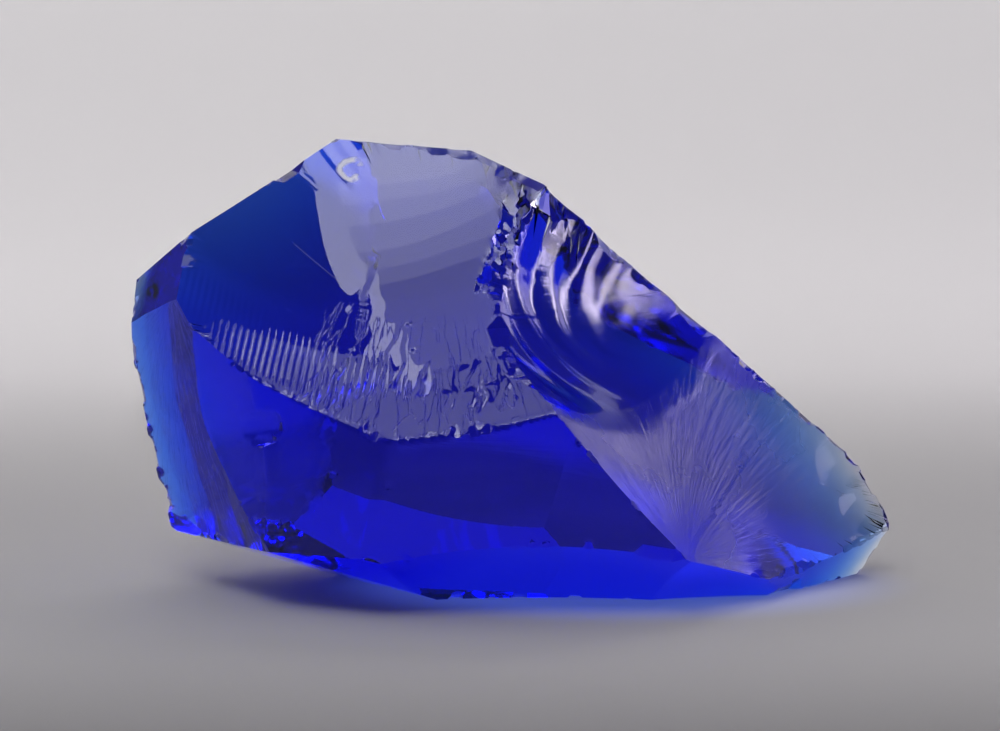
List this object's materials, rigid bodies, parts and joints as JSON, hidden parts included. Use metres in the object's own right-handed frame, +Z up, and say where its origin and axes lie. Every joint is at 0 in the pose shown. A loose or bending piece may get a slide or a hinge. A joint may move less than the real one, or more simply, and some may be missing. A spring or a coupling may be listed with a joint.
{
  "type": "andara glass lump",
  "caption": "Irregular lump of deep cobalt-blue andara glass with shell-shaped fracture faces, a broad ledge, chipped ridges and a thin tip, resting on a flat underside.",
  "frame": {"origin": "under the middle of the lump's bounding box, on the flat face that it rests on", "axes": "+X from the left shoulder to the thin tip, +Y from the ledge of the great scar to the back, +Z up"},
  "size_m": [0.0386, 0.0184, 0.0224],
  "materials": {
    "cobalt_glass": "clear deep cobalt-blue glass, freshly broken and glossy"
  },
  "bodies": {
    "root": {"glass": "cobalt_glass"}
  },
  "joints": []
}
